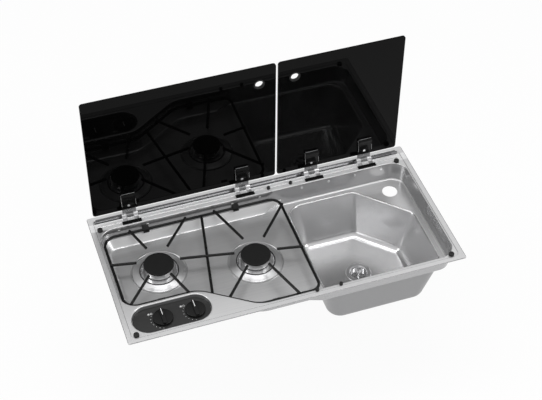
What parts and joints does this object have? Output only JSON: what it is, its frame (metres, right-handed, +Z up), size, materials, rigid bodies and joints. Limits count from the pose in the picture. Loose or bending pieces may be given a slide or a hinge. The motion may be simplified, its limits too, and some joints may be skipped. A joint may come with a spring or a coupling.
{
  "type": "caravan hob and sink with glass lids",
  "caption": "Drop-in steel hob and sink with an angled bowl, a wire pan support, recessed controls and hinged dark glass lids standing open.",
  "frame": {"origin": "middle of the rim in the upper surface of the worktop that the rim rests on", "axes": "+X along the rim to the right, +Y to the hinges at the rear, +Z up"},
  "size_m": [0.9, 0.445, 0.675],
  "materials": {
    "deck_steel": "satin",
    "bowl_steel": "satin",
    "polished_steel": "polished",
    "hinge_steel": "polished",
    "bracket_steel": "matt",
    "screw_steel": "polished",
    "black_glass": "glossy black tint",
    "rubber": "matt",
    "seal_foam": "matt",
    "panel_black": "semi-gloss",
    "knob_black": "satin",
    "clip_black": "gloss",
    "enamel_black": "matt enamel",
    "wire_black": "satin enamel",
    "burner_alloy": "cast",
    "brass": "machined",
    "waste_plastic": "matt",
    "probe_steel": "satin"
  },
  "bodies": {
    "base": {"bumpers": "rubber", "burner_body_left": "burner_alloy", "burner_body_right": "burner_alloy", "burner_crown_left": "burner_alloy", "burner_crown_right": "burner_alloy", "burner_cup_left": "polished_steel", "burner_cup_right": "polished_steel", "burner_dish_left": "polished_steel", "burner_dish_right": "polished_steel", "burner_seal_left": "rubber", "burner_seal_right": "rubber", "control_panel": "panel_black", "deck": "deck_steel", "gas_manifold": "bracket_steel", "gas_pipe_left": "bracket_steel", "gas_pipe_right": "bracket_steel", "gas_valve_left": "brass", "gas_valve_right": "brass", "hinge_brackets": "bracket_steel", "hinge_covers": "clip_black", "hinge_leaf_1": "hinge_steel", "hinge_leaf_2": "hinge_steel", "hinge_leaf_3": "hinge_steel", "hinge_leaf_4": "hinge_steel", "hinge_pins": "hinge_steel", "leaf_screws": "screw_steel", "pan_clips": "rubber", "pan_rests": "rubber", "rim_seal": "seal_foam", "sink_bowl": "bowl_steel", "strainer_flange": "polished_steel", "thermocouple_left": "probe_steel", "thermocouple_right": "probe_steel", "wall_screws": "screw_steel", "waste_body": "waste_plastic", "waste_nut": "waste_plastic"},
    "left_lid": {"lid_left": "black_glass", "grommet_left": "rubber", "hinge_arm_1": "hinge_steel", "hinge_arm_2": "hinge_steel", "clip_covers_left": "clip_black", "clip_jaws_left": "clip_black", "clip_screws_left": "screw_steel"},
    "right_lid": {"lid_right": "black_glass", "grommet_right": "rubber", "hinge_arm_3": "hinge_steel", "hinge_arm_4": "hinge_steel", "clip_covers_right": "clip_black", "clip_jaws_right": "clip_black", "clip_screws_right": "screw_steel"},
    "pan_frame": {"pan_support": "wire_black"},
    "left_plug": {"valve_plug_left": "brass"},
    "right_plug": {"valve_plug_right": "brass"},
    "left_knob": {"knob_left": "knob_black", "valve_shaft_left": "bracket_steel"},
    "right_knob": {"knob_right": "knob_black", "valve_shaft_right": "bracket_steel"},
    "left_cap": {"burner_cap_left": "enamel_black"},
    "right_cap": {"burner_cap_right": "enamel_black"},
    "basket": {"strainer_basket": "polished_steel"}
  },
  "joints": [
    {"name": "left_lid_hinge", "type": "hinge", "parent": "base", "child": "left_lid", "pos_m": [-0.17945, 0.20225, 0.00475], "axis": [-1, 0, 0], "range_deg": [-90, 0]},
    {"name": "right_lid_hinge", "type": "hinge", "parent": "base", "child": "right_lid", "pos_m": [0.2537, 0.20225, 0.00475], "axis": [-1, 0, 0], "range_deg": [-90, 0]},
    {"name": "pan_frame_tilt", "type": "hinge", "parent": "base", "child": "pan_frame", "pos_m": [-0.18, 0.156, -0.017], "axis": [-1, 0, 0], "range_deg": [0, 70]},
    {"name": "left_knob_turn", "type": "hinge", "parent": "base", "child": "left_plug", "pos_m": [-0.3455, -0.159, 0], "axis": [0, 0, 1], "range_deg": [0, 210]},
    {"name": "left_knob_push", "type": "slide", "parent": "left_plug", "child": "left_knob", "axis": [0, 0, -1], "range_m": [0, 0.003], "stiffness_N_per_m": 600, "springref_m": -0.004},
    {"name": "right_knob_turn", "type": "hinge", "parent": "base", "child": "right_plug", "pos_m": [-0.262, -0.159, 0], "axis": [0, 0, 1], "range_deg": [0, 210]},
    {"name": "right_knob_push", "type": "slide", "parent": "right_plug", "child": "right_knob", "axis": [0, 0, -1], "range_m": [0, 0.003], "stiffness_N_per_m": 600, "springref_m": -0.004},
    {"name": "left_cap_lift", "type": "slide", "parent": "base", "child": "left_cap", "axis": [0, 0, 1], "range_m": [0, 0.025]},
    {"name": "right_cap_lift", "type": "slide", "parent": "base", "child": "right_cap", "axis": [0, 0, 1], "range_m": [0, 0.025]},
    {"name": "basket_lift", "type": "slide", "parent": "base", "child": "basket", "axis": [0, 0, 1], "range_m": [0, 0.06]}
  ]
}
